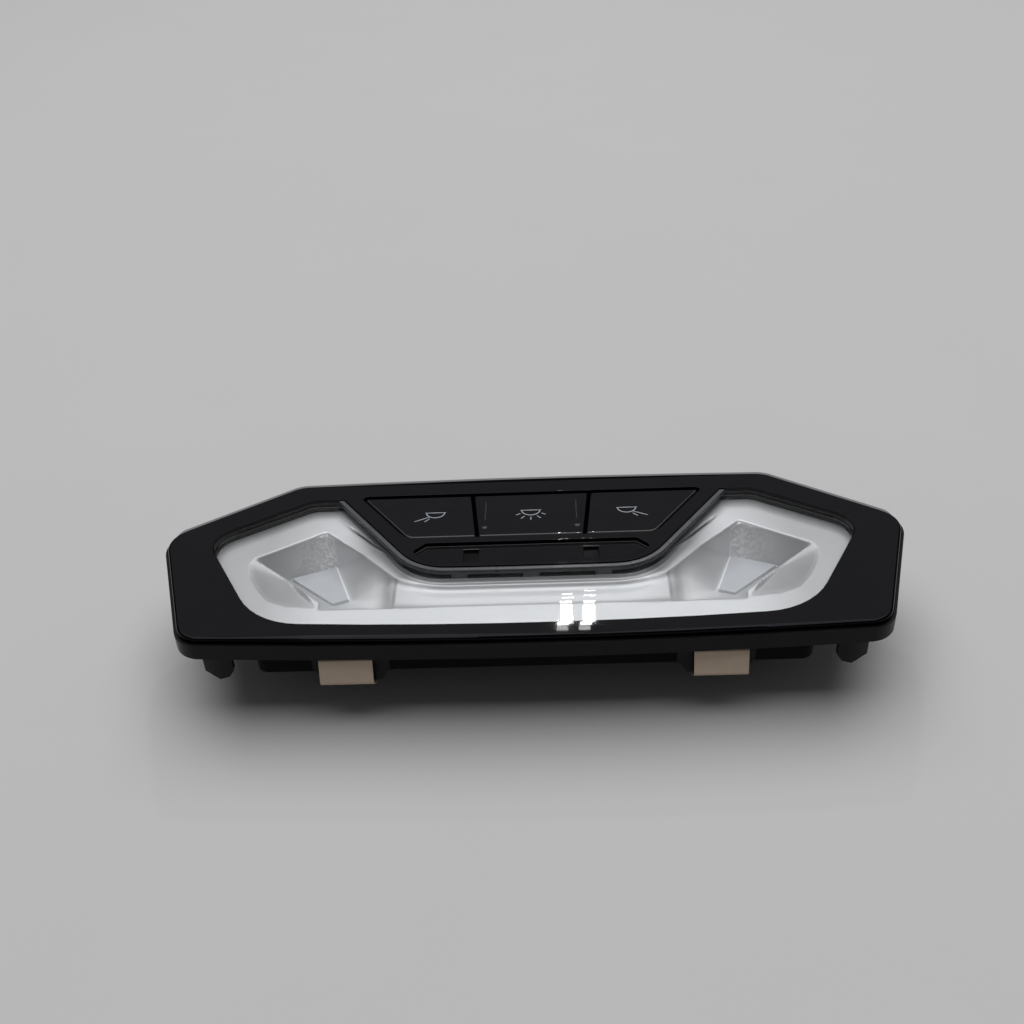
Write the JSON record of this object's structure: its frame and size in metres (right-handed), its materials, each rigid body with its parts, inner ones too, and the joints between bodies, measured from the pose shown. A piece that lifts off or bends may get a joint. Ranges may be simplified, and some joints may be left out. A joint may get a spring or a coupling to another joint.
{
  "type": "car dome light",
  "caption": "Roof-mounted car interior light with a gloss black face, a clear lens over a silver reflector with reading lamps, and push keys beside a slot.",
  "frame": {"origin": "centre of the bounding box on the rear rest face, with the unit lying on its back", "axes": "+X along the unit to the right as seen from its near edge, +Y from the near edge to the far edge, +Z out of the face"},
  "size_m": [0.1892, 0.0641, 0.028],
  "materials": {
    "gloss_black": "polished black plastic",
    "clear_lens": "clear polished lens",
    "milky_guide": "milky light guide",
    "silver_paint": "satin silver paint on plastic",
    "frosted_lens": "frosted lens",
    "satin_black": "satin black plastic",
    "key_black": "gloss black keys",
    "switch_grey": "dark grey plastic",
    "matte_black": "matte black plastic",
    "board_green": "coated circuit board",
    "led_yellow": "LED package",
    "led_white": "LED package",
    "smoke_pipe": "smoked light pipe",
    "tinned_brass": "tinned contact",
    "screw_steel": "zinc-plated screw",
    "clip_tan": "coated spring sheet"
  },
  "bodies": {
    "lamp": {"cover": "gloss_black", "front_lens": "clear_lens", "accent_light_guide": "milky_guide", "reflector": "silver_paint", "reading_lens_left": "frosted_lens", "reading_lens_right": "frosted_lens", "carrier_frame": "satin_black", "key_guide": "matte_black", "key_switches": "switch_grey", "circuit_board": "board_green", "reading_leds": "led_yellow", "accent_leds": "led_white", "symbol_leds": "led_white", "slot_light_pipes": "smoke_pipe", "connector_header": "matte_black", "connector_pins": "tinned_brass", "rear_housing": "matte_black", "housing_screws": "screw_steel", "board_screws": "screw_steel", "clips_near": "clip_tan", "clips_far": "clip_tan"},
    "key_left": {"button_left": "key_black", "stem_left": "switch_grey"},
    "key_centre": {"button_centre": "key_black", "stem_centre": "switch_grey"},
    "key_right": {"button_right": "key_black", "stem_right": "switch_grey"}
  },
  "joints": [
    {"name": "key_left_press", "type": "slide", "parent": "lamp", "child": "key_left", "axis": [0, 0, -1], "range_m": [0, 0.0008], "stiffness_N_per_m": 2500},
    {"name": "key_centre_press", "type": "slide", "parent": "lamp", "child": "key_centre", "axis": [0, 0, -1], "range_m": [0, 0.0008], "stiffness_N_per_m": 2500},
    {"name": "key_right_press", "type": "slide", "parent": "lamp", "child": "key_right", "axis": [0, 0, -1], "range_m": [0, 0.0008], "stiffness_N_per_m": 2500}
  ]
}
